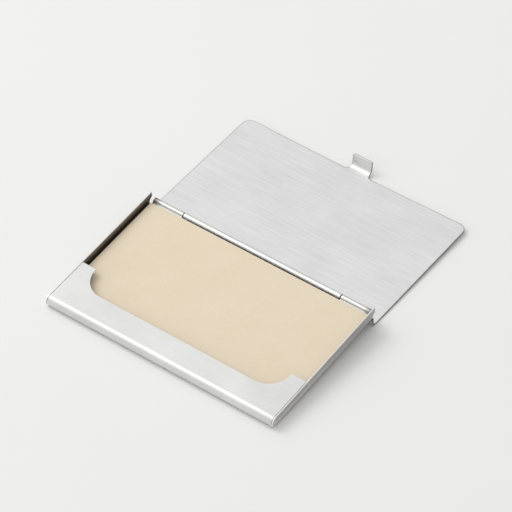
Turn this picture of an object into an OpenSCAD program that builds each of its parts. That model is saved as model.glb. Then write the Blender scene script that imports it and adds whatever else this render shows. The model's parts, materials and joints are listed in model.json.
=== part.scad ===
// Pocket card case: a folded sheet-metal tray and a hinged lid, with a short
// stack of blank cards. It is drawn open, the way it rests on a table: on the
// front roll of the tray and on the rear bend of the lid.
//
// The pieces are drawn in the tray's own frame: X runs along the hinge, Y from
// the front roll to the hinge, Z up from the outside of the tray's floor.
// in_row() then sets them on the table.

/* [Case] */
// Outside width of the tray and of the lid
case_w = 94; // [80:1:120]
// Thickness of the sheet metal
sheet_t = 0.45; // [0.35:0.05:0.6]
// Outside height of the tray, floor to lip
tray_h = 4.32; // [4:0.02:6]
// Outside radius of the bends between the tray's floor and its side walls
side_bend_r = 0.8; // [0.6:0.1:1.2]

/* [Lip] */
// Distance from the front of the tray to the rear edge of the lip's two ears
ear_y = 20; // [17:0.5:24]
// Distance from the front of the tray to the straight edge of the lip
lip_y = 10.8; // [8:0.2:13]
// Radius of the two hollow corners of the lip
lip_corner_r = 9.3; // [6:0.1:9.3]
// Width of each ear at its tip, from the side of the case
ear_w = 6.3; // [5:0.1:9]
// Slot between each end of the lip and the side wall
lip_slot = 0.3; // [0.2:0.05:0.5]

/* [Hinge] */
// Distance from the front of the tray to the hinge axis
hinge_y = 59.2; // [58:0.1:64]
// Height of the hinge axis above the outside of the tray's floor
hinge_z = 0.2; // [0.1:0.05:0.3]
// Outside radius of the rolled knuckles
knuckle_r = 1.1; // [1.05:0.01:1.15]
// Radius of the hinge pin
pin_r = 0.55; // [0.5:0.01:0.58]
// Radial play of the pin in the lid's knuckle
pin_play = 0.05; // [0.02:0.01:0.08]
// Radial tightness of the pin in the tray's knuckles
pin_press = 0.01; // [0.005:0.005:0.02]
// Half the length of the lid's long knuckle
knuckle_half = 32.95; // [28:0.05:36]
// Gap between the lid's knuckle and the tray's knuckles
knuckle_gap = 0.3; // [0.2:0.05:0.4]
// Distance from each side of the case to the end of the tray's knuckles
knuckle_inset = 1.1; // [0.8:0.1:1.5]

/* [Lid] */
// Distance from the hinge axis to the free edge of the lid
lid_reach = 56.34; // [56:0.02:57]
// Gap between the closed lid and the top of the tray
lid_gap = 0.1; // [0.06:0.01:0.2]
// Outside radius of the bend at the rear of the lid
lid_bend_r = 2; // [1.8:0.1:2.2]
// Distance from the hinge axis to the outside of the lid's rear wall
rear_wall_y = 1.55; // [1.55:0.01:1.6]
// Height of the rear wall's lower edge above the hinge axis, at its two ends
rear_wall_cut = 0.8; // [0.75:0.05:1]
// Radius of the lid's two free corners
lid_corner_r = 3.2; // [2:0.1:5]
// How far the lid opens past half a turn, in degrees
open_past = 3.4; // [2:0.1:4]

/* [Latch tab] */
// Width of the tab where it leaves the lid
tab_w = 8.2; // [6:0.1:12]
// Distance of the tab's middle from the middle of the lid
tab_x = 0.6; // [0:0.1:1]
// Radius of the fillets between the tab and the lid
tab_fillet = 2; // [1:0.1:2.2]
// Height of the tab's upright part, below the inside face of the lid
tab_drop = 3.9; // [3:0.1:4]
// Inside radius of the flare at the tip
tab_flare_r = 1.5; // [1:0.1:2]
// Angle of the flare, in degrees
tab_flare = 35; // [20:1:45]
// Radius of the tip's two corners
tab_tip_r = 1.4; // [0.8:0.1:2]

/* [Cards] */
// Length of a card
card_w = 91; // [85:1:91]
// Depth of a card
card_d = 55; // [50:1:55]
// Thickness of a card
card_t = 0.21; // [0.15:0.01:0.21]
// Distance from one card to the next in the stack
card_pitch = 0.22; // [0.22:0.01:0.23]
// Distance from the front of the tray to the front edge of the top card
card_y = 1.65; // [1.6:0.05:2]
// Each card lies this much further forward than the one below it
card_step = 0.1; // [0.1:0.01:0.12]

/* [Hidden] */
card_count = 5;
round_fn = 96;
eps = 0.01;

half_w = case_w / 2;
roll_r = tray_h / 2;
wall_in = half_w - sheet_t;
lip_half = wall_in - lip_slot;
ear_arc_x = half_w - ear_w - lip_corner_r;
ear_arc_y = lip_y + lip_corner_r;

// Tray knuckles, and the swing of the lid's rear wall that its sides clear
tray_knuckle_x = knuckle_half + knuckle_gap;
tray_knuckle_len = half_w - knuckle_inset - tray_knuckle_x;
swing_r = norm([rear_wall_y, rear_wall_cut]);
swing_clear = 0.2;
floor_clear = 0.4;
floor_end_y = hinge_y - knuckle_r - floor_clear;
horn_y = hinge_y - 0.3;

// Lid, drawn closed: inside face, rear wall, bend and free edge
lid_z = tray_h + lid_gap;
lid_top = lid_z + sheet_t;
rear_y = hinge_y + rear_wall_y;
bend_y = rear_y - lid_bend_r;
bend_z = lid_top - lid_bend_r;
free_y = hinge_y - lid_reach;
knuckle_bore_r = pin_r + pin_play;

// Latch tab, drawn closed
tab_in_r = roll_r + lid_gap;
tab_front_y = roll_r - tab_in_r;
tab_low_z = lid_z - tab_drop;
flare_out_r = tab_flare_r;
flare_in_r = tab_flare_r + sheet_t;
flare_y = tab_front_y - flare_in_r;
tab_tip_z = tab_low_z - flare_in_r * sin(tab_flare);

card_base_z = sheet_t + 0.02;

// The open case on the table. Two round edges touch it: the front roll, and
// the bend of the opened lid. The floor of the tray is tilted by rest_tilt.
open_turn = 180 + open_past;
bend_dy = bend_y - hinge_y;
bend_dz = bend_z - hinge_z;
open_bend_y = hinge_y + bend_dy * cos(open_turn) + bend_dz * sin(open_turn);
open_bend_z = hinge_z - bend_dy * sin(open_turn) + bend_dz * cos(open_turn);
span_y = open_bend_y - roll_r;
span_z = open_bend_z - roll_r;
rest_tilt = asin((lid_bend_r - roll_r) / norm([span_y, span_z])) - atan2(span_z, span_y);
roll_row_y = roll_r * cos(rest_tilt) - roll_r * sin(rest_tilt);
roll_row_z = roll_r * sin(rest_tilt) + roll_r * cos(rest_tilt);
tip_y = flare_y + flare_out_r * cos(tab_flare) - hinge_y;
tip_z = tab_tip_z - hinge_z;
tip_turn = rest_tilt - open_turn;
hinge_row_y = hinge_y * cos(rest_tilt) - hinge_z * sin(rest_tilt);
tip_row_y = hinge_row_y + tip_y * cos(tip_turn) - tip_z * sin(tip_turn);
middle_y = (roll_row_y - roll_r + tip_row_y) / 2;

// Sets a shape drawn in the tray's frame on the table, with the middle of the
// open case over the origin.
module in_row() {
    translate([0, -middle_y, roll_r - roll_row_z])
        rotate([rest_tilt, 0, 0])
            children();
}

// Turns a shape drawn on the closed case about the hinge, to its open place.
module opened() {
    translate([0, hinge_y, hinge_z])
        rotate([-open_turn, 0, 0])
            translate([0, -hinge_y, -hinge_z])
                children();
}

// Extrudes a profile, drawn with X as the case's Y and Y as its Z, along the
// hinge from x = from_x.
module along_hinge(from_x, length) {
    translate([from_x, 0, 0])
        rotate([90, 0, 90])
            linear_extrude(height = length)
                children();
}

// Round bar along the hinge axis.
module hinge_bar(from_x, length, radius) {
    translate([from_x, hinge_y, hinge_z])
        rotate([0, 90, 0])
            cylinder(h = length, r = radius, $fn = round_fn);
}

// Side view of the tray's side wall: a half-round front end, a straight top
// and a hollow rear end that the lid's rear wall swings through.
module wall_profile() {
    difference() {
        union() {
            translate([roll_r, roll_r])
                circle(r = roll_r, $fn = round_fn);
            translate([roll_r, 0])
                square([horn_y - roll_r, tray_h]);
        }
        translate([hinge_y, hinge_z])
            circle(r = swing_r + swing_clear, $fn = round_fn);
    }
}

// End view of the right-hand half of the floor, its bend and its wall.
module side_section() {
    bend_x = half_w - side_bend_r;
    square([bend_x + eps, sheet_t]);
    translate([wall_in, side_bend_r - eps])
        square([sheet_t, tray_h - side_bend_r + eps]);
    translate([bend_x, side_bend_r])
        intersection() {
            difference() {
                circle(r = side_bend_r, $fn = round_fn);
                circle(r = side_bend_r - sheet_t, $fn = round_fn);
            }
            translate([0, -side_bend_r])
                square(side_bend_r);
        }
}

// Floor and side walls, cut to the wall's side view.
module folded_sides() {
    intersection() {
        translate([0, horn_y + eps, 0])
            rotate([90, 0, 0])
                linear_extrude(height = horn_y + 2 * eps) {
                    side_section();
                    mirror([1, 0])
                        side_section();
                }
        along_hinge(-half_w - eps, case_w + 2 * eps)
            wall_profile();
    }
}

// Half-round front roll and the full lip, from one side slot to the other.
module roll_and_lip() {
    along_hinge(-lip_half, 2 * lip_half) {
        translate([roll_r, roll_r])
            difference() {
                circle(r = roll_r, $fn = round_fn);
                circle(r = roll_r - sheet_t, $fn = round_fn);
                translate([0, -roll_r])
                    square([roll_r, 2 * roll_r]);
            }
        translate([roll_r - eps, tray_h - sheet_t])
            square([ear_y - roll_r + eps, sheet_t]);
    }
}

// Opening in the lip that shows the cards, with hollow round corners.
module lip_cutout() {
    translate([0, 0, tray_h - sheet_t - eps])
        linear_extrude(height = sheet_t + 2 * eps) {
            translate([-ear_arc_x, lip_y])
                square([2 * ear_arc_x, ear_y]);
            for (side = [-1, 1])
                translate([side * ear_arc_x, ear_arc_y])
                    circle(r = lip_corner_r, $fn = round_fn);
        }
}

// The floor stops short of the lid's long knuckle. In front of the roll only
// the two side walls go on, past a slot at each end of the roll.
module floor_trims() {
    translate([-knuckle_half - knuckle_gap, floor_end_y, -eps])
        cube([2 * (knuckle_half + knuckle_gap), hinge_y, sheet_t + 2 * eps]);
    translate([-wall_in, -eps, -eps])
        cube([2 * wall_in, roll_r, tray_h + 2 * eps]);
}

// Short knuckles of the tray, joined to the floor, and bored for the pin.
module tray_knuckles() {
    for (side = [0, 1])
        mirror([side, 0, 0]) {
            hinge_bar(tray_knuckle_x, tray_knuckle_len, knuckle_r);
            translate([tray_knuckle_x, floor_end_y - 1, 0])
                cube([tray_knuckle_len, 1 + floor_clear + knuckle_r / 2, sheet_t]);
        }
}

module tray() {
    color("gainsboro")
        in_row()
            difference() {
                union() {
                    difference() {
                        folded_sides();
                        floor_trims();
                    }
                    difference() {
                        roll_and_lip();
                        lip_cutout();
                    }
                    tray_knuckles();
                }
                hinge_bar(-half_w, case_w, pin_r - pin_press);
            }
}

// Steel pin, pressed into the tray's two short knuckles.
module hinge_pin() {
    pin_inset = knuckle_inset + 0.2;
    chamfer = 0.15;
    pin_half = half_w - pin_inset;
    color("silver")
        in_row()
            translate([0, hinge_y, hinge_z])
                rotate([0, 90, 0])
                    rotate_extrude($fn = round_fn)
                        polygon([
                            [0, -pin_half],
                            [pin_r - chamfer, -pin_half],
                            [pin_r, chamfer - pin_half],
                            [pin_r, pin_half - chamfer],
                            [pin_r - chamfer, pin_half],
                            [0, pin_half]
                        ]);
}

// Flat top of the lid, with two round corners at its free edge.
module lid_plate() {
    corner_x = half_w - lid_corner_r;
    translate([0, 0, lid_z])
        linear_extrude(height = sheet_t) {
            translate([-half_w, free_y + lid_corner_r])
                square([case_w, bend_y - free_y - lid_corner_r + eps]);
            translate([-corner_x, free_y])
                square([2 * corner_x, lid_corner_r + eps]);
            for (side = [-1, 1])
                translate([side * corner_x, free_y + lid_corner_r])
                    circle(r = lid_corner_r, $fn = round_fn);
        }
}

// Side view of the lid's rear bend and rear wall.
module rear_profile() {
    wall_low = hinge_z + rear_wall_cut;
    translate([bend_y, bend_z])
        intersection() {
            difference() {
                circle(r = lid_bend_r, $fn = round_fn);
                circle(r = lid_bend_r - sheet_t, $fn = round_fn);
            }
            square(lid_bend_r);
        }
    translate([rear_y - sheet_t, wall_low])
        square([sheet_t, bend_z - wall_low + eps]);
}

// Side view of the long knuckle and of the step that leads into it from the
// rear wall.
module long_knuckle_profile() {
    step_top = hinge_z + 1.4;
    step_low = hinge_z + 0.3;
    translate([hinge_y, hinge_z])
        circle(r = knuckle_r, $fn = round_fn);
    polygon([
        [rear_y, step_top],
        [rear_y - sheet_t, step_top],
        [rear_y - 2 * sheet_t, step_low],
        [hinge_y + knuckle_r - eps, step_low - sheet_t],
        [rear_y, step_low + sheet_t]
    ]);
}

// Side view of the latch tab: it follows the front roll down, stands upright
// and flares out at its tip.
module tab_profile() {
    tab_out_r = tab_in_r + sheet_t;
    translate([roll_r, roll_r])
        intersection() {
            difference() {
                circle(r = tab_out_r, $fn = round_fn);
                circle(r = tab_in_r, $fn = round_fn);
            }
            translate([-tab_out_r, 0])
                square([tab_out_r + eps, tab_out_r]);
        }
    translate([roll_r, lid_z])
        square([free_y - roll_r + 1, sheet_t]);
    translate([tab_front_y - sheet_t, tab_low_z - eps])
        square([sheet_t, roll_r - tab_low_z + 2 * eps]);
    translate([flare_y, tab_low_z])
        intersection() {
            difference() {
                circle(r = flare_in_r, $fn = round_fn);
                circle(r = flare_out_r, $fn = round_fn);
            }
            polygon([
                [0, 0],
                [2 * flare_in_r, 0],
                [2 * flare_in_r * cos(tab_flare), -2 * flare_in_r * sin(tab_flare)]
            ]);
        }
}

// Front view of the tab, with round tip corners.
module tab_outline() {
    corner_x = tab_w / 2 - tab_tip_r;
    translate([-tab_w / 2, tab_tip_z + tab_tip_r])
        square([tab_w, lid_top - tab_tip_z]);
    translate([-corner_x, tab_tip_z - eps])
        square([2 * corner_x, tab_tip_r + 2 * eps]);
    for (side = [-1, 1])
        translate([side * corner_x, tab_tip_z + tab_tip_r])
            circle(r = tab_tip_r, $fn = round_fn);
}

module latch_tab() {
    reach = 2 * tab_flare_r;
    translate([tab_x, 0, 0]) {
        intersection() {
            along_hinge(-tab_w / 2, tab_w)
                tab_profile();
            translate([0, free_y + 1, 0])
                rotate([90, 0, 0])
                    linear_extrude(height = free_y + 1 + tab_in_r + reach)
                        tab_outline();
        }
        // Fillets beside the tab, where the sheet starts to bend
        intersection() {
            along_hinge(-tab_w / 2 - tab_fillet, tab_w + 2 * tab_fillet)
                tab_profile();
            translate([0, 0, roll_r])
                linear_extrude(height = lid_top)
                    difference() {
                        translate([-tab_w / 2 - tab_fillet, free_y - tab_fillet])
                            square([tab_w + 2 * tab_fillet, tab_fillet + eps]);
                        for (side = [-1, 1])
                            translate([side * (tab_w / 2 + tab_fillet), free_y - tab_fillet])
                                circle(r = tab_fillet, $fn = round_fn);
                    }
        }
    }
}

module lid() {
    color("lightgray")
        in_row()
            opened()
                difference() {
                    union() {
                        lid_plate();
                        along_hinge(-half_w, case_w)
                            rear_profile();
                        along_hinge(-knuckle_half, 2 * knuckle_half)
                            long_knuckle_profile();
                        latch_tab();
                    }
                    hinge_bar(-half_w, case_w, knuckle_bore_r);
                }
}

// Blank card number i, counted from the bottom of the stack.
module card(i) {
    card_front = card_y + card_step * (card_count - i);
    color("wheat")
        in_row()
            translate([-card_w / 2, card_front, card_base_z + card_pitch * (i - 1)])
                cube([card_w, card_d, card_t]);
}

tray();
hinge_pin();
lid();
for (i = [1 : card_count])
    card(i);
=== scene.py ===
"""Looks of an open pocket card case: a folded satin tray, a brushed lid that
hangs open on a wire pin, and a short stack of blank cream cards.

Each metal piece is cut flat, then bent: its outline is drawn on a flat sheet
and every point is carried round the bends, so its grain follows the metal.
"""

import json
import math

import bmesh
import bpy
from bpy.props import FloatProperty, FloatVectorProperty, IntProperty, PointerProperty
from mathutils import Matrix, Vector


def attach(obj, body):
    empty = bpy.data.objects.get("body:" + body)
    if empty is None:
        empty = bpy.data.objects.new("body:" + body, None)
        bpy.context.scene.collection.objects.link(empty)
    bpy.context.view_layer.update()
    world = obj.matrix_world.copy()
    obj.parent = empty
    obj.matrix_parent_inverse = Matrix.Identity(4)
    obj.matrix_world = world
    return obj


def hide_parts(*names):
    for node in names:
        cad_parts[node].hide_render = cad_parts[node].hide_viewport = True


bl_info = {
    "name": "Pocket Card Case",
    "version": (1, 0, 0),
    "blender": (4, 5, 0),
    "location": "3D View > Sidebar > Card Case",
    "description": "Builds an open sheet-metal card case with its cards and its studio",
    "category": "Object",
}

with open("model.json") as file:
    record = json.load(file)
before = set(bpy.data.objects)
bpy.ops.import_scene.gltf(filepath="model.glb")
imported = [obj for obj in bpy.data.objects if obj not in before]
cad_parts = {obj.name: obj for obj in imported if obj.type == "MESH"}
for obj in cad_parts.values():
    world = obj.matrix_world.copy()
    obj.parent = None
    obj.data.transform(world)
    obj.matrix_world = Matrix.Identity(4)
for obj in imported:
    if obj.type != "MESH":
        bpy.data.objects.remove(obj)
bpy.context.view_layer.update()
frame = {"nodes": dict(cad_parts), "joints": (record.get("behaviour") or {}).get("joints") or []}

MM = 0.001
FLAT_UV = "flat"
# Width of the band along a cut edge that takes painted edge light and shade
RIM = 0.28 * MM
QUARTER = math.pi / 2
# Turn between two creases of a smooth bend
ARC_STEP = math.radians(9.0)
# How far the painted shade of an inner corner fades out over the floor
PAINTED_SHADE_REACH = 3.6 * MM


# ---------------------------------------------------------------- colours

def linear(code):
    """Linear RGBA of an sRGB hex colour."""
    channels = [int(code[i:i + 2], 16) / 255 for i in (1, 3, 5)]
    light = [c / 12.92 if c <= 0.04045 else ((c + 0.055) / 1.055) ** 2.4 for c in channels]
    return (*light, 1.0)


# ---------------------------------------------------------------- hinge place

def joint(name):
    """The frame's joint of that name."""
    return next(j for j in frame["joints"] if j["name"] == name)


HINGE_POINT = Vector(joint("lid_hinge")["pos_m"])
SLIDE_AXIS = joint("card_stack_slide")["axis"]
REST_TILT = math.atan2(SLIDE_AXIS[2], SLIDE_AXIS[1])
OPEN_TURN = math.radians(joint("lid_hinge")["range_deg"][1])


# ---------------------------------------------------------------- sizes

def millimetres(name, value, description):
    """A length property, given in millimetres and kept in metres."""
    return FloatProperty(
        name=name,
        description=description,
        default=value * MM,
        min=0.0,
        precision=5,
        subtype="DISTANCE",
        unit="LENGTH",
    )


def degrees(name, value, description):
    """An angle property, given in degrees and kept in radians."""
    return FloatProperty(
        name=name,
        description=description,
        default=math.radians(value),
        subtype="ANGLE",
        unit="ROTATION",
    )


def colour(name, code, description):
    """A colour property with an sRGB hex default."""
    return FloatVectorProperty(
        name=name,
        description=description,
        default=linear(code),
        size=4,
        min=0.0,
        max=1.0,
        subtype="COLOR",
    )


class CardCaseSheet(bpy.types.PropertyGroup):
    """The sheet metal that the tray and the lid share."""

    thickness: millimetres("Thickness", 0.45, "Thickness of the sheet")
    edge: millimetres("Edge", 0.07, "Radius of the tumbled edges of the cut sheet")
    width: millimetres("Width", 94.0, "Outside width of the case, along the hinge")
    hinge_y: millimetres("Hinge distance", 59.2, "Front of the tray to the hinge axis")
    hinge_z: millimetres("Hinge height", 0.2, "Underside of the floor to the hinge axis")
    knuckle_radius: millimetres("Knuckle radius", 1.1, "Outside radius of the knuckles")
    knuckle_half: millimetres("Knuckle half", 32.95, "Half the lid's long knuckle")
    knuckle_gap: millimetres("Knuckle gap", 0.3, "Gap between two knuckles")


class CardCaseTray(bpy.types.PropertyGroup):
    """Sizes of the tray."""

    height: millimetres("Height", 4.32, "Outside height, floor to lip")
    side_bend: millimetres("Side bend", 0.8, "Outside radius of the side bends")
    ear_y: millimetres("Ear reach", 20.0, "Front of the tray to the tips of the lip's ears")
    lip_y: millimetres("Lip depth", 10.8, "Front of the tray to the lip's straight edge")
    hollow: millimetres("Hollow radius", 8.8, "Radius of the lip's hollow corners")
    ear_width: millimetres("Ear width", 6.3, "Side of the case to the inside of an ear")
    ear_round: millimetres("Ear corner", 0.4, "Radius of an ear's inside corner")
    slot: millimetres("Slot", 0.14, "Slot between the lip's end and the side wall")
    floor_end: millimetres("Floor end", 57.7, "Front of the tray to the floor's rear edge")
    horn: millimetres("Wall length", 58.9, "Front of the tray to the end of a side wall")
    swing: millimetres("Swing hollow", 1.944, "Radius of the hollow at a wall's rear end")
    knuckle_inset: millimetres("Knuckle inset", 1.1, "Side of the case to a knuckle's end")


class CardCaseLid(bpy.types.PropertyGroup):
    """Sizes of the lid."""

    gap: millimetres("Gap", 0.1, "Gap between the closed lid and the tray")
    reach: millimetres("Reach", 56.34, "Hinge axis to the free edge")
    rear_bend: millimetres("Rear bend", 2.0, "Outside radius of the rear bend")
    rear_wall: millimetres("Rear wall", 1.55, "Hinge axis to the outside of the rear wall")
    wall_cut: millimetres("Wall cut", 0.8, "Height of the rear wall's ends above the axis")
    corner: millimetres("Corner", 3.2, "Radius of the two free corners")
    dish: millimetres("Dish", 0.55, "Sag of the free edge's middle")
    tab_width: millimetres("Tab width", 8.2, "Width of the latch tab")
    tab_offset: millimetres("Tab offset", 0.6, "Tab's middle to the lid's middle")
    tab_fillet: millimetres("Tab fillet", 1.6, "Radius of the fillets beside the tab")
    tab_upright: millimetres("Tab upright", 1.6, "Height of the tab's upright part")
    tab_flare: degrees("Tab flare", 62.0, "Turn of the flare at the tab's tip")
    flare_radius: millimetres("Flare radius", 1.05, "Radius of the flare")
    tab_corner: millimetres("Tab corner", 0.9, "Radius of the tip's corners")


class CardCaseCards(bpy.types.PropertyGroup):
    """Sizes of the cards."""

    count: IntProperty(name="Count", description="Cards in the stack", default=5, min=2, max=5)
    length: millimetres("Length", 91.0, "Length of a card, along the hinge")
    depth: millimetres("Depth", 55.0, "Depth of a card")
    thickness: millimetres("Thickness", 0.21, "Thickness of a card")
    pitch: millimetres("Pitch", 0.22, "One card to the next")
    front: millimetres("Front", 1.65, "Front of the tray to the top card's front edge")
    step: millimetres("Step", 0.1, "How far each card lies in front of the one below it")
    base: millimetres("Base", 0.47, "Underside of the floor to the lowest card")
    bow: millimetres("Bow", 0.22, "Rise of a card's middle over its two ends")
    scatter: millimetres("Scatter", 0.12, "Most that a card lies to one side")
    seed: IntProperty(name="Seed", description="Pattern of the scatter", default=4, min=0)


class CardCaseFinish(bpy.types.PropertyGroup):
    """Colours and grain of the finishes."""

    tray_colour: colour("Tray", "#E7E7E5", "Satin aluminium of the tray")
    lid_colour: colour("Lid", "#FAFBFA", "Brushed aluminium of the lid")
    pin_colour: colour("Pin", "#B9B7B2", "Drawn steel of the pin")
    card_colour: colour("Cards", "#E7D8C1", "Cream stock of the cards")
    floor_colour: colour("Table", "#EDEDEC", "Matt table top")
    grain_width: millimetres("Grain width", 0.32, "Width of a brush mark")
    grain_length: millimetres("Grain length", 9.0, "Length of a brush mark")


class CardCaseStudio(bpy.types.PropertyGroup):
    """Camera and light."""

    aim_x: FloatProperty(name="Aim X", description="Point looked at", default=-0.00433, unit="LENGTH")
    aim_y: FloatProperty(name="Aim Y", description="Point looked at", default=0.00219, unit="LENGTH")
    distance: millimetres("Distance", 1107.45, "Camera to the point looked at")
    elevation: degrees("Elevation", 44.78, "Camera's height over the table")
    azimuth: degrees("Azimuth", 35.317, "Camera's turn to the right of the front")
    roll: degrees("Roll", 0.921, "Camera's turn about its line of sight")
    lens: FloatProperty(name="Lens", description="Focal length, in millimetres", default=227.4)
    room: FloatProperty(name="Room light", description="Brightness of the room", default=1.0)
    key: FloatProperty(name="Key light", description="Power of the key light, in watts", default=6.6)


# ---------------------------------------------------------------- nodes

def add(tree, kind, **settings):
    """Adds a node. A setting sets the node's own property, or an input by its
    name (_ for a space) or by its number (i0, i1): a socket is linked to it."""
    node = tree.nodes.new(kind)
    for key, value in settings.items():
        if hasattr(node, key):
            setattr(node, key, value)
    for key, value in settings.items():
        if hasattr(node, key):
            continue
        if key[0] == "i" and key[1:].isdigit():
            target = node.inputs[int(key[1:])]
        else:
            target = node.inputs[key.replace("_", " ")]
        if isinstance(value, bpy.types.NodeSocket):
            tree.links.new(value, target)
        else:
            target.default_value = value
    return node


# ---------------------------------------------------------------- bends

class BendPath:
    """Middle line of a strip of sheet in side view: straight runs and arcs."""

    def __init__(self, start, heading, legs):
        self.legs = []
        self.length = 0.0
        point = Vector(start)
        for length, turn in legs:
            self.legs.append((self.length, point, heading, length, turn))
            point = self.ahead(point, heading, length, turn, length)
            heading += turn
            self.length += length

    def ahead(self, point, heading, length, turn, distance):
        """The point that lies a distance along one leg."""
        if turn == 0.0:
            return point + distance * Vector((math.cos(heading), math.sin(heading)))
        curve = turn / length
        end = heading + curve * distance
        across = (math.sin(end) - math.sin(heading)) / curve
        up = (math.cos(heading) - math.cos(end)) / curve
        return point + Vector((across, up))

    def at(self, distance):
        """The point at a distance along the path and the normal on its left."""
        leg = self.legs[0]
        for other in self.legs:
            if distance >= other[0]:
                leg = other
        begin, point, heading, length, turn = leg
        inside = distance - begin
        end = heading + turn * inside / length
        normal = Vector((-math.sin(end), math.cos(end)))
        return self.ahead(point, heading, length, turn, inside), normal

    def stations(self, arc_step):
        """Distances at which the sheet is creased, close together in the arcs."""
        found = []
        for begin, _, _, length, turn in self.legs:
            parts = max(1, math.ceil(abs(turn) / arc_step - 1e-6))
            found += [begin + length * i / parts for i in range(parts)]
        return found + [self.length]


def arc_leg(radius, turn):
    """Leg of a bend path that turns by an angle, left if it is above zero."""
    return (radius * abs(turn), turn)


def rounded(corners):
    """Outline through corners (x, y, radius), each rounded by its own radius."""
    outline = []
    count = len(corners)
    for i, (x, y, radius) in enumerate(corners):
        here = Vector((x, y))
        before = (Vector(corners[i - 1][:2]) - here).normalized()
        after = (Vector(corners[(i + 1) % count][:2]) - here).normalized()
        if radius <= 0.0:
            outline.append(here)
            continue
        half = before.angle(after) / 2
        reach = radius / math.tan(half)
        first = here + before * reach
        last = here + after * reach
        centre = here + (before + after).normalized() * (radius / math.sin(half))
        sweep = math.pi - 2 * half
        parts = max(3, math.ceil(sweep / math.radians(9.0)))
        spoke = first - centre
        turn = (spoke.x * (last - centre).y - spoke.y * (last - centre).x) > 0
        for j in range(parts + 1):
            angle = sweep * j / parts * (1 if turn else -1)
            outline.append(centre + spoke @ Matrix.Rotation(-angle, 2))
    return outline


def inset(outline, distance):
    """The outline moved inwards by a distance, with mitred corners."""
    moved = []
    for i, point in enumerate(outline):
        before = (point - outline[i - 1]).normalized()
        after = (outline[(i + 1) % len(outline)] - point).normalized()
        inward = Vector((-before.y - after.y, before.x + after.x))
        moved.append(point + inward * (distance / max(0.5, 1 + before.dot(after))))
    return moved


def signed_area(outline):
    """Area inside an outline, below zero if it runs clockwise."""
    total = 0.0
    for i, p in enumerate(outline):
        q = outline[i - 1]
        total += q.x * p.y - p.x * q.y
    return total / 2


def bent_sheet(name, outline, thickness, edge, cuts_x, cuts_y, bend, painted_shade_and_stain):
    """A sheet cut to the outline, with soft edges, creased and then bent.

    bend(x, y, height) gives a point's place, and the other function how much
    painted brown shade it takes, and on the lid's tab how much thumb stain. The
    flat x and y are kept as a UV map in metres, which the grain of the metal
    follows, and "rim" marks the band along the cut edges that takes painted
    edge light and shade.
    """
    bm = bmesh.new()
    soft = 0.29 * edge
    levels = [
        (RIM, 0.0),
        (edge, 0.0),
        (soft, soft),
        (0.0, edge),
        (0.0, thickness - edge),
        (soft, thickness - soft),
        (edge, thickness),
        (RIM, thickness),
    ]
    rim = bm.verts.layers.float.new("rim")
    shade_stain_mask = bm.verts.layers.float.new("painted_shade_and_stain")
    rings = [[bm.verts.new((*p, z)) for p in inset(outline, by)] for by, z in levels]
    for ring in rings[1:-1]:
        for vert in ring:
            vert[rim] = 1.0
    bm.faces.new(list(reversed(rings[0])))
    bm.faces.new(rings[-1])
    for low, high in zip(rings, rings[1:]):
        for i in range(len(outline)):
            bm.faces.new((low[i - 1], low[i], high[i], high[i - 1]))
    for cuts, normal in ((cuts_x, Vector((1, 0, 0))), (cuts_y, Vector((0, 1, 0)))):
        for cut in cuts:
            bmesh.ops.bisect_plane(
                bm,
                geom=bm.verts[:] + bm.edges[:] + bm.faces[:],
                plane_co=normal * cut,
                plane_no=normal,
                dist=1e-7,
            )
    layer = bm.loops.layers.uv.new(FLAT_UV)
    for face in bm.faces:
        face.smooth = True
        for loop in face.loops:
            loop[layer].uv = loop.vert.co.xy
    for vert in bm.verts:
        vert[shade_stain_mask] = painted_shade_and_stain(*vert.co)
        vert.co = bend(*vert.co)
    bmesh.ops.recalc_face_normals(bm, faces=bm.faces[:])
    mesh = bpy.data.meshes.new(name)
    bm.to_mesh(mesh)
    bm.free()
    return mesh


def shown(name, mesh, material):
    """A new object of the mesh with one material and even shading."""
    mesh.materials.clear()
    mesh.materials.append(material)
    mesh.set_sharp_from_angle(angle=math.radians(50.0))
    piece = bpy.data.objects.new(name, mesh)
    bpy.context.scene.collection.objects.link(piece)
    shade = piece.modifiers.new("Even shading", "WEIGHTED_NORMAL")
    shade.weight = 90
    shade.keep_sharp = True
    return piece


def placed(sheet, turn):
    """Matrix that turns a shape, drawn in the tray's frame, about the hinge."""
    axis = Vector((0.0, sheet.hinge_y, sheet.hinge_z))
    return (
        Matrix.Translation(HINGE_POINT)
        @ Matrix.Rotation(turn, 4, "X")
        @ Matrix.Translation(-axis)
    )


# ---------------------------------------------------------------- tray

def wall_rear(tray, sheet, z):
    """Rear end of a side wall at height z: a hollow that the lid swings through."""
    up = z - sheet.hinge_z
    if up >= tray.swing:
        return tray.horn
    return min(tray.horn, sheet.hinge_y - math.sqrt(tray.swing ** 2 - up ** 2))


def wall_nose(tray, z):
    """Front end of a side wall at height z: half a circle."""
    radius = tray.height / 2
    return radius - math.sqrt(max(0.0, radius ** 2 - (z - radius) ** 2))


def lip_flat(radius, roll_length, y):
    """Flat place of a point of the lip that lies a distance y behind the front."""
    return 2 * radius - roll_length - y


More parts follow.
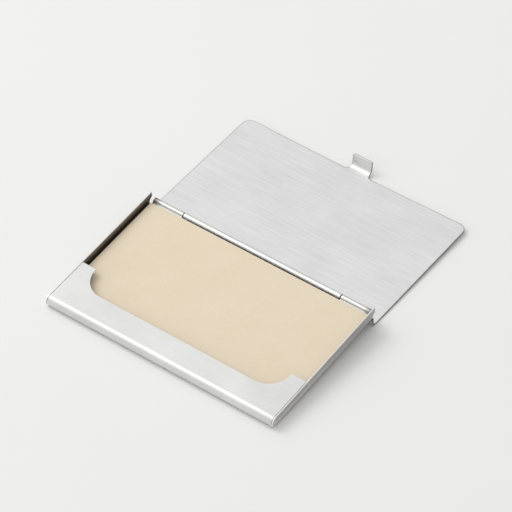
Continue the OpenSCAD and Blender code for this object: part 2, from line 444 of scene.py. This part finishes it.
def flap_outline(tray, sheet, side_path):
    """Flat outline of the right-hand side flap, from its rear end round to its nose."""
    bend_x = sheet.width / 2 - tray.side_bend
    radius = tray.height / 2
    straight_from = side_path.legs[1][0]
    # Points nearer than this to the floor or to the top would crowd their neighbours
    first = 0.12 * MM
    lowest = 0.1 * MM
    top_margin = 0.5 * MM
    flap = []
    rear_steps = 40
    for i in range(rear_steps):
        along = first + (side_path.length - first) * i / rear_steps
        z = side_path.at(along)[0].y
        if z < tray.height - top_margin:
            flap.append((bend_x + along, wall_rear(tray, sheet, z), 0.0))
    flap.append((bend_x + side_path.length, tray.horn, 0.3 * MM))
    nose_steps = 28
    for i in range(nose_steps):
        z = radius + radius * math.cos(math.pi * i / nose_steps)
        if z < lowest:
            continue
        along = straight_from + z - tray.side_bend
        if z < tray.side_bend:
            along = straight_from * math.acos(1 - z / tray.side_bend) / QUARTER
        flap.append((bend_x + along, wall_nose(tray, z), 0.0))
    return flap


def tray_outline(tray, sheet, side_path, roll_length, knuckle_length):
    """Flat outline of the tray: floor, side flaps, roll, lip and end knuckles."""
    half = sheet.width / 2
    radius = tray.height / 2
    lip_half = half - sheet.thickness - tray.slot
    knuckle_in = sheet.knuckle_half + sheet.knuckle_gap
    knuckle_out = half - tray.knuckle_inset
    knuckle_end = tray.floor_end + knuckle_length
    notch_y = tray.floor_end - 0.8 * MM
    notch_width = 0.25 * MM
    slot_y = radius + 0.1 * MM
    ear_x = half - tray.ear_width
    ear_tip = lip_flat(radius, roll_length, tray.ear_y)
    lip_edge = lip_flat(radius, roll_length, tray.lip_y)

    right = [
        (knuckle_in, tray.floor_end, 0.2 * MM),
        (knuckle_in, knuckle_end, 0.0),
        (knuckle_out, knuckle_end, 0.0),
        (knuckle_out, notch_y, 0.15 * MM),
        (knuckle_out + notch_width, notch_y, 0.0),
        *flap_outline(tray, sheet, side_path),
        (lip_half + 0.15 * MM, slot_y, 0.0),
        (lip_half, slot_y, 0.0),
        (lip_half, ear_tip, 0.25 * MM),
        (ear_x, ear_tip, tray.ear_round),
        (ear_x, lip_edge, tray.hollow),
    ]
    left = [(-x, y, corner) for x, y, corner in reversed(right)]
    outline = rounded(left + right)
    if signed_area(outline) < 0:
        outline.reverse()
    return outline


class CARDCASE_OT_tray(bpy.types.Operator):
    """Cut and bend the satin tray"""

    bl_idname = "card_case.tray"
    bl_label = "Build tray"

    def execute(self, context):
        sheet = context.scene.card_case_sheet
        tray = context.scene.card_case_tray
        half_t = sheet.thickness / 2
        half = sheet.width / 2
        radius = tray.height / 2
        bend_x = half - tray.side_bend
        lip_half = half - sheet.thickness - tray.slot

        roll = BendPath((radius, half_t), math.pi, [arc_leg(radius - half_t, -math.pi)])
        side_radius = tray.side_bend - half_t
        side = BendPath(
            (bend_x, half_t),
            0.0,
            [arc_leg(side_radius, QUARTER), (tray.height - tray.side_bend, 0.0)],
        )

        # The end knuckle leaves the floor by a small fillet, then curls over the pin
        ring = sheet.knuckle_radius - half_t
        fillet = 0.3 * MM
        drop = half_t + fillet - sheet.hinge_z
        reach = math.sqrt((ring + fillet) ** 2 - drop ** 2)
        lead = math.acos(drop / (ring + fillet))
        curl_past_level = math.radians(250.0)
        curl = curl_past_level + lead
        knuckle_start = sheet.hinge_y - reach
        knuckle = BendPath(
            (knuckle_start, half_t),
            0.0,
            [arc_leg(fillet, lead), arc_leg(ring, -curl)],
        )

        knuckle_length = knuckle_start + knuckle.length - tray.floor_end
        outline = tray_outline(tray, sheet, side, roll.length, knuckle_length)

        def bend(x, y, height):
            """Place of a point of the flat sheet in the bent tray."""
            out = height - half_t
            if y < radius and abs(x) <= lip_half + 1e-6:
                point, normal = roll.at(radius - y)
                if radius - y > roll.length:
                    point = Vector((2 * radius - roll.length - y, tray.height - half_t))
                    normal = Vector((0.0, 1.0))
                return Vector((x, *(point - normal * out)))
            if abs(x) > bend_x:
                point, normal = side.at(abs(x) - bend_x)
                point = point + normal * out
                return Vector((math.copysign(point.x, x), y, point.y))
            if y > knuckle_start:
                point, normal = knuckle.at(y - knuckle_start)
                return Vector((x, *(point + normal * out)))
            return Vector((x, y, height))

        def painted_shade_and_stain(x, y, height):
            """Painted brown shade where shade falls: strongest in the inner corners and under the lip,
            fading up the inner faces of the walls, and a little on their outer faces.
            """
            out = abs(x) - bend_x
            if height < half_t:
                return 0.4 if out > 0.0 and y > radius else 0.0
            if y < radius:
                return 0.8
            if out < 0.0:
                return max(0.0, 1.0 + out / PAINTED_SHADE_REACH)
            return max(0.0, 1.0 - 0.35 * out / side.length)

        # Besides the bends, a few cuts let the painted shade fade evenly
        fade_cuts = (-PAINTED_SHADE_REACH, -2.0 * MM, -0.8 * MM, 2.0 * MM, 3.2 * MM)
        side_step = math.radians(15.0)
        cuts_x = [sign * (bend_x + s) for sign in (-1, 1) for s in side.stations(side_step)]
        cuts_x += [sign * (bend_x + s) for sign in (-1, 1) for s in fade_cuts]
        cuts_y = [radius - s for s in roll.stations(ARC_STEP)]
        cuts_y += [knuckle_start + s for s in knuckle.stations(ARC_STEP)]
        mesh = bent_sheet(
            "tray_sheet", outline, sheet.thickness, sheet.edge, cuts_x, cuts_y, bend, painted_shade_and_stain
        )
        mesh.transform(placed(sheet, REST_TILT))
        piece = shown("tray_sheet", mesh, satin_aluminium(context.scene.card_case_finish))
        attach(piece, "tray")
        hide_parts("tray")
        return {"FINISHED"}


# ---------------------------------------------------------------- lid

class CARDCASE_OT_lid(bpy.types.Operator):
    """Cut and bend the brushed lid, with its latch tab and its long knuckle"""

    bl_idname = "card_case.lid"
    bl_label = "Build lid"

    def execute(self, context):
        sheet = context.scene.card_case_sheet
        tray = context.scene.card_case_tray
        lid = context.scene.card_case_lid
        half_t = sheet.thickness / 2
        half = sheet.width / 2
        roll_r = tray.height / 2
        middle_z = tray.height + lid.gap + half_t
        top_z = middle_z + half_t
        # Nearly a full ring: its end stops short of the wall and leaves a seam
        knuckle_turn = math.radians(316.0)

        # Legs from the tab's tip, over the plate, down the rear wall and round the pin
        wrap = roll_r + lid.gap + half_t
        bend_y = sheet.hinge_y + lid.rear_wall - lid.rear_bend
        ring = sheet.knuckle_radius - half_t
        step_r = 0.6 * MM
        lean = math.radians(8.0)
        wall_y = sheet.hinge_y + lid.rear_wall - half_t
        ring_y = sheet.hinge_y + ring * math.cos(lean)
        ring_z = sheet.hinge_z + ring * math.sin(lean)
        jog = math.acos((step_r * (1 + math.cos(lean)) - (wall_y - ring_y)) / (2 * step_r))
        jog_drop = step_r * (2 * math.sin(jog) + math.sin(lean))
        wall = top_z - lid.rear_bend - ring_z - jog_drop
        tip = Vector((roll_r - wrap, roll_r - lid.tab_upright))
        tip += lid.flare_radius * Vector((math.cos(lid.tab_flare) - 1, -math.sin(lid.tab_flare)))
        legs = [
            arc_leg(lid.flare_radius, lid.tab_flare),
            (lid.tab_upright, 0.0),
            arc_leg(wrap, -QUARTER),
            (bend_y - roll_r, 0.0),
            arc_leg(lid.rear_bend - half_t, -QUARTER),
            (wall, 0.0),
            arc_leg(step_r, -jog),
            arc_leg(step_r, jog + lean),
            arc_leg(ring, -knuckle_turn),
        ]
        path = BendPath(tip, QUARTER - lid.tab_flare, legs)
        leg_starts = [leg[0] for leg in path.legs]
        plate_start, bend_start, wall_start, jog_start, _, ring_start = leg_starts[3:]
        free = plate_start + sheet.hinge_y - lid.reach - roll_r
        wall_low = wall_start + top_z - lid.rear_bend - sheet.hinge_z - lid.wall_cut
        tab_l = lid.tab_offset - lid.tab_width / 2
        tab_r = lid.tab_offset + lid.tab_width / 2
        long_half = sheet.knuckle_half
        gap = sheet.knuckle_gap

        outline = rounded([
            (tab_l, 0.0, lid.tab_corner),
            (tab_r, 0.0, lid.tab_corner),
            (tab_r, free, lid.tab_fillet),
            (half, free, lid.corner),
            (half, wall_low, 0.3 * MM),
            (long_half + gap, wall_low, 0.0),
            (long_half + gap, jog_start, 0.0),
            (long_half, jog_start, 0.0),
            (long_half, path.length, 0.0),
            (-long_half, path.length, 0.0),
            (-long_half, jog_start, 0.0),
            (-long_half - gap, jog_start, 0.0),
            (-long_half - gap, wall_low, 0.0),
            (-half, wall_low, 0.3 * MM),
            (-half, free, lid.corner),
            (tab_l, free, lid.tab_fillet),
        ])

        def bend(x, y, height):
            """Place of a point of the flat sheet in the bent, closed lid."""
            if abs(x) > long_half + gap / 2:
                y_wall = min(y, jog_start)
                point, normal = path.at(y_wall)
                point = point - Vector((0.0, y - y_wall))
                if y > jog_start - 1e-6:
                    normal = Vector((1.0, 0.0))
            else:
                point, normal = path.at(y)
            point = point + normal * (height - half_t)
            share = min(1.05, max(0.0, (bend_start - y) / (bend_start - free)))
            sag = lid.dish * share * (1 - (x / half) ** 2)
            return Vector((x, point.x, point.y + sag))

        def painted_shade_and_stain(x, y, height):
            """Painted shade darkens the rear wall and its step under the knuckle, which lie in shade, and
            thumbs yellow the tab a little.
            """
            if wall_start < y < ring_start:
                return 0.6
            return 0.1 * min(1.0, max(0.0, (plate_start - y) / wrap))

        plate_cuts = 14
        plate_step = (bend_start - plate_start) / plate_cuts
        cuts_y = path.stations(ARC_STEP)
        cuts_y += [plate_start + plate_step * i for i in range(plate_cuts)]
        half_cuts = 12
        cuts_x = [half * i / half_cuts for i in range(1 - half_cuts, half_cuts)]
        mesh = bent_sheet(
            "lid_sheet", outline, sheet.thickness, sheet.edge, cuts_x, cuts_y, bend, painted_shade_and_stain
        )
        mesh.transform(placed(sheet, REST_TILT - OPEN_TURN))
        piece = shown("lid_sheet", mesh, brushed_aluminium(context.scene.card_case_finish))
        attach(piece, "lid")
        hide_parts("lid")
        return {"FINISHED"}


# ---------------------------------------------------------------- pin

class CARDCASE_OT_pin(bpy.types.Operator):
    """Give the hinge pin its drawn steel finish"""

    bl_idname = "card_case.pin"
    bl_label = "Finish pin"

    def execute(self, context):
        pin = frame["nodes"]["hinge_pin"]
        pin.data.materials.clear()
        pin.data.materials.append(drawn_steel_wire(context.scene.card_case_finish))
        return {"FINISHED"}


# ---------------------------------------------------------------- cards

def card_tree(material):
    """Geometry nodes that stack a number of cards, each a little to one side."""
    tree = bpy.data.node_groups.new("Card stack", "GeometryNodeTree")
    face = tree.interface
    lengths = ("Length", "Depth", "Thickness", "Pitch", "Step", "Bow", "Scatter")
    for name in lengths:
        face.new_socket(name=name, in_out="INPUT", socket_type="NodeSocketFloat")
    for name in ("Count", "Seed"):
        face.new_socket(name=name, in_out="INPUT", socket_type="NodeSocketInt")
    face.new_socket(name="Geometry", in_out="OUTPUT", socket_type="NodeSocketGeometry")
    sizes = add(tree, "NodeGroupInput").outputs

    size = add(tree, "ShaderNodeCombineXYZ", X=sizes["Length"], Y=sizes["Depth"], Z=sizes["Thickness"])
    card = add(
        tree, "GeometryNodeMeshCube", Size=size.outputs[0], Vertices_X=33, Vertices_Y=5, Vertices_Z=2
    )

    # Each card bows up along its length, like stock cut across its grain
    place = add(tree, "GeometryNodeInputPosition")
    parts = add(tree, "ShaderNodeSeparateXYZ", Vector=place.outputs[0])
    double = add(tree, "ShaderNodeMath", operation="MULTIPLY", i0=parts.outputs["X"], i1=2.0)
    share = add(tree, "ShaderNodeMath", operation="DIVIDE", i0=double.outputs[0], i1=sizes["Length"])
    square = add(tree, "ShaderNodeMath", operation="MULTIPLY", i0=share.outputs[0], i1=share.outputs[0])
    fall = add(tree, "ShaderNodeMath", operation="SUBTRACT", i0=1.0, i1=square.outputs[0])
    rise = add(tree, "ShaderNodeMath", operation="MULTIPLY", i0=fall.outputs[0], i1=sizes["Bow"])
    lift = add(tree, "ShaderNodeCombineXYZ", Z=rise.outputs[0])
    bowed = add(
        tree, "GeometryNodeSetPosition", Geometry=card.outputs["Mesh"], Offset=lift.outputs[0]
    )

    # One point for each card, with a fixed seed for its place to the side
    back = add(tree, "ShaderNodeMath", operation="MULTIPLY", i0=sizes["Step"], i1=-1.0)
    next_card = add(tree, "ShaderNodeCombineXYZ", Y=back.outputs[0], Z=sizes["Pitch"])
    line = add(tree, "GeometryNodeMeshLine", Count=sizes["Count"], Offset=next_card.outputs[0])
    minus = add(tree, "ShaderNodeMath", operation="MULTIPLY", i0=sizes["Scatter"], i1=-1.0)
    aside = add(tree, "FunctionNodeRandomValue", data_type="FLOAT", Seed=sizes["Seed"])
    tree.links.new(minus.outputs[0], aside.inputs[2])
    tree.links.new(sizes["Scatter"], aside.inputs[3])
    shift = add(tree, "ShaderNodeCombineXYZ", X=aside.outputs[1])
    points = add(
        tree, "GeometryNodeSetPosition", Geometry=line.outputs["Mesh"], Offset=shift.outputs[0]
    )
    stack = add(
        tree, "GeometryNodeInstanceOnPoints", Points=points.outputs[0], Instance=bowed.outputs[0]
    )
    real = add(tree, "GeometryNodeRealizeInstances", Geometry=stack.outputs[0])
    done = add(
        tree, "GeometryNodeSetMaterial", Geometry=real.outputs[0], Material=material
    )
    add(tree, "NodeGroupOutput", Geometry=done.outputs[0])
    return tree


def card_pile(name, tree, cards, count, first, seed, material):
    """A pile of cards as a plain mesh; first is the number of its lowest card."""
    values = {
        "Length": cards.length,
        "Depth": cards.depth,
        "Thickness": cards.thickness,
        "Pitch": cards.pitch,
        "Step": cards.step,
        "Bow": cards.bow,
        "Scatter": cards.scatter,
        "Count": count,
        "Seed": seed,
    }
    maker = bpy.data.objects.new("card maker", bpy.data.meshes.new("card maker"))
    bpy.context.scene.collection.objects.link(maker)
    nodes = maker.modifiers.new("Cards", "NODES")
    nodes.node_group = tree
    for socket in tree.interface.items_tree:
        if socket.in_out == "INPUT":
            nodes[socket.identifier] = values[socket.name]
    ready = maker.evaluated_get(bpy.context.evaluated_depsgraph_get())
    mesh = bpy.data.meshes.new_from_object(ready)
    mesh.name = name
    maker.modifiers.remove(nodes)
    bpy.data.objects.remove(maker)

    # Guillotined edges are crisp, with a burr's softness at each arris
    bm = bmesh.new()
    bm.from_mesh(mesh)
    sharp = [e for e in bm.edges if e.is_manifold and e.calc_face_angle() > math.radians(60)]
    bmesh.ops.bevel(
        bm,
        geom=sharp,
        offset=0.03 * MM,
        segments=1,
        affect="EDGES",
        clamp_overlap=True,
    )
    for face in bm.faces:
        face.smooth = True
    bmesh.ops.recalc_face_normals(bm, faces=bm.faces[:])
    bm.to_mesh(mesh)
    bm.free()

    sheet = bpy.context.scene.card_case_sheet
    lowest = cards.front + cards.step * (cards.count - first)
    middle = Vector((
        0.0,
        lowest + cards.depth / 2,
        cards.base + cards.pitch * (first - 1) + cards.thickness / 2,
    ))
    mesh.transform(placed(sheet, REST_TILT) @ Matrix.Translation(middle))
    return shown(name, mesh, material)


class CARDCASE_OT_cards(bpy.types.Operator):
    """Stack the blank cards"""

    bl_idname = "card_case.cards"
    bl_label = "Build cards"

    def execute(self, context):
        cards = context.scene.card_case_cards
        material = card_stock(context.scene.card_case_finish)
        tree = card_tree(material)
        under = cards.count - 1
        stack = card_pile("card_stack", tree, cards, under, 1, cards.seed, material)
        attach(stack, "cards")
        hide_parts(*[f"card_{i}" for i in range(1, cards.count)])
        top = card_pile("top_card", tree, cards, 1, cards.count, cards.seed + 1, material)
        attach(top, "top_card")
        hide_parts(f"card_{cards.count}")
        return {"FINISHED"}


# ---------------------------------------------------------------- materials

def new_material(name):
    """An empty node material and its tree."""
    material = bpy.data.materials.new(name)
    material.use_nodes = True
    material.node_tree.nodes.clear()
    return material, material.node_tree


def grained_metal(
    name, base, shade, grain_w, grain_l, rough, depth, turned, cloud, margin, painted_edge_tone
):
    """Aluminium sheet with straight abrasive grain along the hinge.

    The grain lies on the flat sheet, so it runs true round every bend. depth is
    the strength of its relief, turned its anisotropy, cloud the share of broad
    unevenness, and margin how strongly the cut edges take the painted edge tone,
    which stands in for the light and shade on a sheet's cut edge.
    """
    material, tree = new_material(name)
    flat = add(tree, "ShaderNodeUVMap", uv_map=FLAT_UV)

    # Fine marks, and a second set three times as long and broad
    fine_at = add(tree, "ShaderNodeMapping", Vector=flat.outputs[0], Scale=(1 / grain_l, 1 / grain_w, 1.0))
    fine = add(tree, "ShaderNodeTexNoise", Vector=fine_at.outputs[0], Scale=1.0, Detail=5.0, Roughness=0.62)
    long_at = add(
        tree, "ShaderNodeMapping", Vector=flat.outputs[0], Scale=(0.3 / grain_l, 0.33 / grain_w, 1.0)
    )
    long = add(tree, "ShaderNodeTexNoise", Vector=long_at.outputs[0], Scale=1.0, Detail=3.0, Roughness=0.5)
    marks = add(
        tree, "ShaderNodeMix", data_type="FLOAT", Factor=0.4, A=fine.outputs[0], B=long.outputs[0]
    )

    # Broad unevenness of the finish, about 20 mm across
    broad = add(tree, "ShaderNodeTexNoise", Vector=flat.outputs[0], Scale=50.0, Detail=2.0, Roughness=0.5)
    mix = add(
        tree, "ShaderNodeMix", data_type="FLOAT", Factor=cloud, A=marks.outputs[0], B=broad.outputs[0]
    )
    span = add(
        tree, "ShaderNodeMapRange", Value=mix.outputs[0], From_Min=0.32, From_Max=0.68
    )
    tone = add(tree, "ShaderNodeMix", data_type="RGBA", i0=span.outputs[0])
    tone.inputs[6].default_value = shade
    tone.inputs[7].default_value = base

    # A few small nicks, about 0.3 mm across and 15 mm apart
    spots = add(
        tree, "ShaderNodeTexVoronoi", Vector=flat.outputs[0], Scale=65.0, Randomness=1.0
    )
    spot = add(
        tree, "ShaderNodeMapRange", Value=spots.outputs[0], From_Min=0.006, From_Max=0.016
    )
    nicked = add(tree, "ShaderNodeMix", data_type="RGBA", i0=spot.outputs[0])
    nicked.inputs[6].default_value = tuple(c * 0.55 for c in shade[:3]) + (1.0,)
    tree.links.new(tone.outputs[2], nicked.inputs[7])

    # Painted brown shade in the hollows, with a thumb stain on the lid's tab, and painted edge light and
    # shade of its own tone along the cut edges
    shade_stain_mask = add(tree, "ShaderNodeAttribute", attribute_name="painted_shade_and_stain")
    shade_stained = add(tree, "ShaderNodeMix", data_type="RGBA", i0=shade_stain_mask.outputs["Fac"])
    tree.links.new(nicked.outputs[2], shade_stained.inputs[6])
    # Brown of the painted shade, and of the tab's thumb stain
    shade_stained.inputs[7].default_value = linear("#5A493C")
    rim = add(tree, "ShaderNodeAttribute", attribute_name="rim")
    painted_edge_mask = add(tree, "ShaderNodeMath", operation="MULTIPLY", i0=rim.outputs["Fac"], i1=margin)
    edged = add(tree, "ShaderNodeMix", data_type="RGBA", i0=painted_edge_mask.outputs[0])
    tree.links.new(shade_stained.outputs[2], edged.inputs[6])
    edged.inputs[7].default_value = painted_edge_tone

    uneven = add(
        tree, "ShaderNodeMapRange", Value=mix.outputs[0], From_Min=0.3, From_Max=0.7,
        To_Min=rough + 0.05, To_Max=rough - 0.05,
    )
    relief = add(tree, "ShaderNodeBump", Strength=depth, Distance=0.01 * MM, Height=marks.outputs[0])
    along = add(tree, "ShaderNodeTangent", direction_type="UV_MAP", uv_map=FLAT_UV)
    metal = add(
        tree, "ShaderNodeBsdfPrincipled", Base_Color=edged.outputs[2], Metallic=1.0,
        Roughness=uneven.outputs[0], Anisotropic=turned, Normal=relief.outputs[0],
        Tangent=along.outputs[0],
    )
    add(tree, "ShaderNodeOutputMaterial", Surface=metal.outputs[0])
    return material


def satin_aluminium(finish):
    """Aluminium sheet, finely satined and tumbled: a soft, pale, milky shine
    with barely visible grain."""
    return grained_metal(
        "Satin aluminium",
        base=finish.tray_colour,
        shade=linear("#D5D5D3"),
        grain_w=finish.grain_width * 0.7,
        grain_l=finish.grain_length * 0.6,
        rough=0.49,
        depth=0.25,
        turned=0.3,
        cloud=0.45,
        # Painted highlight: the cut edges, such as the top edges of the walls, are lightened as if catching
        # the light
        margin=0.7,
        painted_edge_tone=linear("#F8F8F6"),
    )


def brushed_aluminium(finish):
    """Aluminium sheet brushed with a belt along its length: cool grey, with
    fine streaks that catch the light one by one."""
    return grained_metal(
        "Brushed aluminium",
        base=finish.lid_colour,
        shade=linear("#E1E2E1"),
        grain_w=finish.grain_width,
        grain_l=finish.grain_length,
        rough=0.43,
        depth=0.6,
        turned=0.5,
        cloud=0.25,
        # Painted shade: the lid's cut edges are darkened where the sheet's thickness lies in shade
        margin=0.85,
        painted_edge_tone=linear("#6B665E"),
    )


def drawn_steel_wire(finish):
    """Steel wire drawn through a die: darker than the sheet, with draw lines
    along its length that stretch the highlight."""
    material, tree = new_material("Drawn steel wire")
    here = add(tree, "ShaderNodeTexCoord")
    # Draw lines are about 0.05 mm apart and run the whole length
    lines_at = add(
        tree, "ShaderNodeMapping", Vector=here.outputs["Object"], Scale=(40.0, 12000.0, 12000.0)
    )
    lines = add(tree, "ShaderNodeTexNoise", Vector=lines_at.outputs[0], Scale=1.0, Detail=3.0)
    tone = add(tree, "ShaderNodeMix", data_type="RGBA", i0=lines.outputs[0])
    tone.inputs[6].default_value = linear("#9B9994")
    tone.inputs[7].default_value = finish.pin_colour
    uneven = add(
        tree, "ShaderNodeMapRange", Value=lines.outputs[0], To_Min=0.24, To_Max=0.38
    )
    relief = add(tree, "ShaderNodeBump", Strength=0.3, Distance=0.01 * MM, Height=lines.outputs[0])
    metal = add(
        tree, "ShaderNodeBsdfPrincipled", Base_Color=tone.outputs[2], Metallic=1.0,
        Roughness=uneven.outputs[0], Anisotropic=0.4, Normal=relief.outputs[0],
    )
    add(tree, "ShaderNodeOutputMaterial", Surface=metal.outputs[0])
    return material


def card_stock(finish):
    """Uncoated cream card: matt, with a faint cloudy formation and short
    fibres that give it a soft tooth."""
    material, tree = new_material("Uncoated cream card")
    here = add(tree, "ShaderNodeTexCoord")
    # Fibre flocks about 1.2 mm across, clouds about 9 mm across
    flocks = add(
        tree, "ShaderNodeTexNoise", Vector=here.outputs["Object"], Scale=850.0, Detail=5.0, Roughness=0.7
    )
    clouds = add(
        tree, "ShaderNodeTexNoise", Vector=here.outputs["Object"], Scale=110.0, Detail=2.0, Roughness=0.5
    )
    both = add(
        tree, "ShaderNodeMix", data_type="FLOAT", Factor=0.4, A=flocks.outputs[0], B=clouds.outputs[0]
    )
    span = add(tree, "ShaderNodeMapRange", Value=both.outputs[0], From_Min=0.3, From_Max=0.7)
    tone = add(tree, "ShaderNodeMix", data_type="RGBA", i0=span.outputs[0])
    tone.inputs[6].default_value = linear("#E0D1B7")
    tone.inputs[7].default_value = finish.card_colour
    relief = add(tree, "ShaderNodeBump", Strength=0.35, Distance=0.03 * MM, Height=flocks.outputs[0])
    paper = add(
        tree, "ShaderNodeBsdfPrincipled", Base_Color=tone.outputs[2], Roughness=0.82,
        IOR=1.5, Specular_IOR_Level=0.3, Normal=relief.outputs[0], Sheen_Weight=0.05,
    )
    add(tree, "ShaderNodeOutputMaterial", Surface=paper.outputs[0])
    return material


def matt_table(finish):
    """Pale laminate sweep: matt and even, so it shows only soft shadows."""
    material, tree = new_material("Matt table")
    here = add(tree, "ShaderNodeTexCoord")
    mottle = add(
        tree, "ShaderNodeTexNoise", Vector=here.outputs["Object"], Scale=14.0, Detail=2.0
    )
    tone = add(tree, "ShaderNodeMix", data_type="RGBA", i0=mottle.outputs[0])
    tone.inputs[6].default_value = linear("#EBEBEA")
    tone.inputs[7].default_value = finish.floor_colour
    top = add(tree, "ShaderNodeBsdfPrincipled", Base_Color=tone.outputs[2], Roughness=0.7)
    add(tree, "ShaderNodeOutputMaterial", Surface=top.outputs[0])
    return material


# ---------------------------------------------------------------- stage

def soft_light(name, place, size, power, code):
    """A square soft light that points at the case."""
    light = bpy.data.lights.new(name, "AREA")
    light.shape = "SQUARE"
    light.size = size
    light.energy = power
    light.color = linear(code)[:3]
    lamp = bpy.data.objects.new(name, light)
    lamp.location = place
    lamp.rotation_euler = (-Vector(place)).to_track_quat("-Z", "Y").to_euler()
    bpy.context.scene.collection.objects.link(lamp)


def room_light(studio):
    """Even pale room, brightest overhead and at the front left."""
    world = bpy.data.worlds.new("Studio room")
    world.use_nodes = True
    tree = world.node_tree
    tree.nodes.clear()
    way = add(tree, "ShaderNodeTexCoord")
    slope = add(
        tree, "ShaderNodeVectorMath", operation="DOT_PRODUCT", i0=way.outputs["Generated"],
        i1=(-0.27, -0.16, 0.50),
    )
    level = add(tree, "ShaderNodeMath", operation="ADD", i0=slope.outputs["Value"], i1=0.47)
    level = add(tree, "ShaderNodeMath", operation="MULTIPLY", i0=level.outputs[0], i1=studio.room)
    glow = add(
        tree, "ShaderNodeBackground", Color=linear("#FFFFFF"), Strength=level.outputs[0]
    )
    add(tree, "ShaderNodeOutputWorld", Surface=glow.outputs[0])
    bpy.context.scene.world = world


class CARDCASE_OT_stage(bpy.types.Operator):
    """Set the table, the light and the camera"""

    bl_idname = "card_case.stage"
    bl_label = "Set stage"

    def execute(self, context):
        scene = context.scene
        studio = scene.card_case_studio
        finish = scene.card_case_finish

        table = bpy.data.meshes.new("table")
        bm = bmesh.new()
        bmesh.ops.create_grid(bm, x_segments=8, y_segments=8, size=3.0)
        bm.to_mesh(table)
        bm.free()
        table.materials.append(matt_table(finish))
        table_top = bpy.data.objects.new("table", table)
        scene.collection.objects.link(table_top)

        room_light(studio)
        soft_light("key", (-1.0, -0.1, 1.05), 0.8, studio.key, "#FFFFFF")

        camera = bpy.data.cameras.new("camera")
        camera.lens = studio.lens
        camera.sensor_width = 36.0
        eye = bpy.data.objects.new("camera", camera)
        back = Vector((
            math.cos(studio.elevation) * math.sin(studio.azimuth),
            -math.cos(studio.elevation) * math.cos(studio.azimuth),
            math.sin(studio.elevation),
        ))
        right = Vector((0.0, 0.0, 1.0)).cross(back).normalized()
        up = back.cross(right)
        turned = Matrix((right, up, back)).transposed().to_4x4() @ Matrix.Rotation(studio.roll, 4, "Z")
        place = Vector((studio.aim_x, studio.aim_y, 0.0)) + back * studio.distance
        eye.matrix_world = Matrix.Translation(place) @ turned
        scene.collection.objects.link(eye)
        scene.camera = eye
        scene.view_settings.view_transform = "Standard"
        return {"FINISHED"}


# ---------------------------------------------------------------- add-on

class CARDCASE_PT_panel(bpy.types.Panel):
    """Lists the pieces of the card case"""

    bl_label = "Card Case"
    bl_idname = "CARDCASE_PT_panel"
    bl_space_type = "VIEW_3D"
    bl_region_type = "UI"
    bl_category = "Card Case"

    def draw(self, context):
        for operator in OPERATORS:
            self.layout.operator(operator.bl_idname)
        for name in GROUPS:
            box = self.layout.box()
            settings = getattr(context.scene, name)
            box.label(text=GROUPS[name].__doc__)
            for key in settings.bl_rna.properties.keys():
                if key not in ("rna_type", "name"):
                    box.prop(settings, key)


GROUPS = {
    "card_case_sheet": CardCaseSheet,
    "card_case_tray": CardCaseTray,
    "card_case_lid": CardCaseLid,
    "card_case_cards": CardCaseCards,
    "card_case_finish": CardCaseFinish,
    "card_case_studio": CardCaseStudio,
}
OPERATORS = (
    CARDCASE_OT_stage,
    CARDCASE_OT_tray,
    CARDCASE_OT_lid,
    CARDCASE_OT_pin,
    CARDCASE_OT_cards,
)


def register():
    """Registers the settings, the operators and the panel."""
    for name, group in GROUPS.items():
        bpy.utils.register_class(group)
        setattr(bpy.types.Scene, name, PointerProperty(type=group))
    for operator in OPERATORS:
        bpy.utils.register_class(operator)
    bpy.utils.register_class(CARDCASE_PT_panel)


def unregister():
    """Takes away what register() added."""
    bpy.utils.unregister_class(CARDCASE_PT_panel)
    for operator in reversed(OPERATORS):
        bpy.utils.unregister_class(operator)
    for name, group in GROUPS.items():
        delattr(bpy.types.Scene, name)
        bpy.utils.unregister_class(group)


def main():
    """Builds every piece."""
    register()
    bpy.ops.card_case.stage()
    bpy.ops.card_case.tray()
    bpy.ops.card_case.lid()
    bpy.ops.card_case.pin()
    bpy.ops.card_case.cards()


if __name__ == "__main__":
    main()
